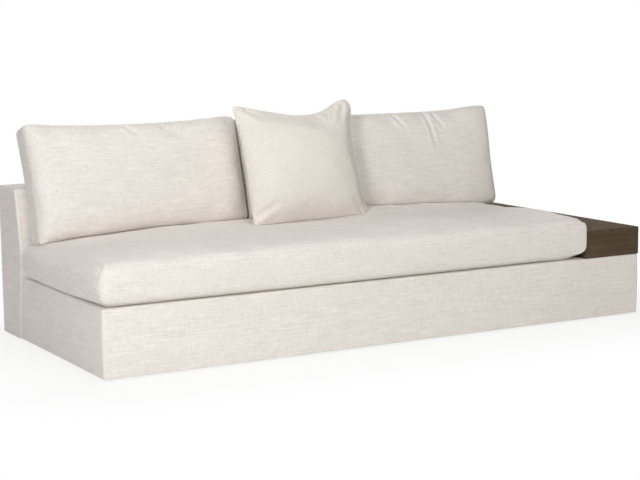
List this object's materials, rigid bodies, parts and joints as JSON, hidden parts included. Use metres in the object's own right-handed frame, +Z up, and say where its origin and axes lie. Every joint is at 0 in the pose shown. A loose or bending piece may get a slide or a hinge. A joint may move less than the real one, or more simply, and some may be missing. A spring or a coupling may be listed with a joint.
{
  "type": "sofa with a wood ledge",
  "caption": "Low armless sofa on an upholstered plinth, with a bench seat cushion, loose back cushions, a throw pillow and a dark wood ledge at the right end.",
  "frame": {"origin": "on the floor, under the middle of the footprint of the base and back", "axes": "+X along the sofa towards the ledge, -Y to the front, +Z up"},
  "size_m": [2.642, 1.18, 1.0164],
  "materials": {
    "woven_fabric": "matte slubby woven upholstery",
    "boucle": "matte nubby boucle",
    "fibre": "loose polyester fibre",
    "foam": "polyurethane foam",
    "pad": "felted cotton pad",
    "webbing": "elastic webbing",
    "lining": "non-woven lining cloth",
    "decking": "plain cotton deck cloth",
    "ledge_wood": "dark brown stained oak, low sheen",
    "frame_wood": "planed, unfinished",
    "glide_plastic": "moulded",
    "screw_steel": "zinc plated"
  },
  "bodies": {
    "frame": {"base_front_rail": "frame_wood", "base_rear_rail": "frame_wood", "base_left_rail": "frame_wood", "base_right_rail": "frame_wood", "ledge_support_rail": "frame_wood", "deck_rear_rail": "frame_wood", "cross_rail_left": "frame_wood", "cross_rail_right": "frame_wood", "corner_blocks": "frame_wood", "back_post_left": "frame_wood", "back_post_mid_left": "frame_wood", "back_post_mid_right": "frame_wood", "back_post_right": "frame_wood", "back_top_rail": "frame_wood", "ledge_board": "frame_wood", "ledge_lower_cleats": "frame_wood", "ledge_upper_cleats": "frame_wood", "seat_webbing_depth": "webbing", "seat_webbing_length": "webbing", "back_webbing": "webbing", "deck_pad": "pad", "dust_cover": "lining", "deck_cloth": "decking", "glides": "glide_plastic", "base_front_cover": "woven_fabric", "base_left_cover": "woven_fabric", "base_right_cover": "woven_fabric", "ledge_rear_cover": "woven_fabric", "outside_back_cover": "woven_fabric", "inside_back_pad": "woven_fabric", "back_top_pad": "woven_fabric", "back_left_end_cover": "woven_fabric", "back_right_end_cover": "woven_fabric", "ledge_top": "ledge_wood", "ledge_front": "ledge_wood", "ledge_rear": "ledge_wood", "ledge_inner_side": "ledge_wood", "ledge_outer_side": "ledge_wood", "ledge_screws": "screw_steel"},
    "seat_cushion": {"seat_cover": "woven_fabric", "seat_fibre_wrap": "fibre", "seat_foam_core": "foam"},
    "back_cushion_left": {"back_cover_left": "woven_fabric", "back_filling_left": "fibre"},
    "back_cushion_right": {"back_cover_right": "woven_fabric", "back_filling_right": "fibre"},
    "throw_pillow": {"pillow_cover": "boucle", "pillow_filling": "fibre"}
  },
  "joints": [
    {"name": "seat_cushion_lift", "type": "slide", "parent": "frame", "child": "seat_cushion", "axis": [0, 0, 1], "range_m": [0, 0.4]},
    {"name": "back_cushion_left_lift", "type": "slide", "parent": "seat_cushion", "child": "back_cushion_left", "axis": [0, 0.2924, 0.9563], "range_m": [0, 0.5]},
    {"name": "back_cushion_right_lift", "type": "slide", "parent": "seat_cushion", "child": "back_cushion_right", "axis": [0, 0.2924, 0.9563], "range_m": [0, 0.5]},
    {"name": "throw_pillow_lift", "type": "slide", "parent": "back_cushion_right", "child": "throw_pillow", "axis": [0, 0, 1], "range_m": [0, 0.6]}
  ]
}
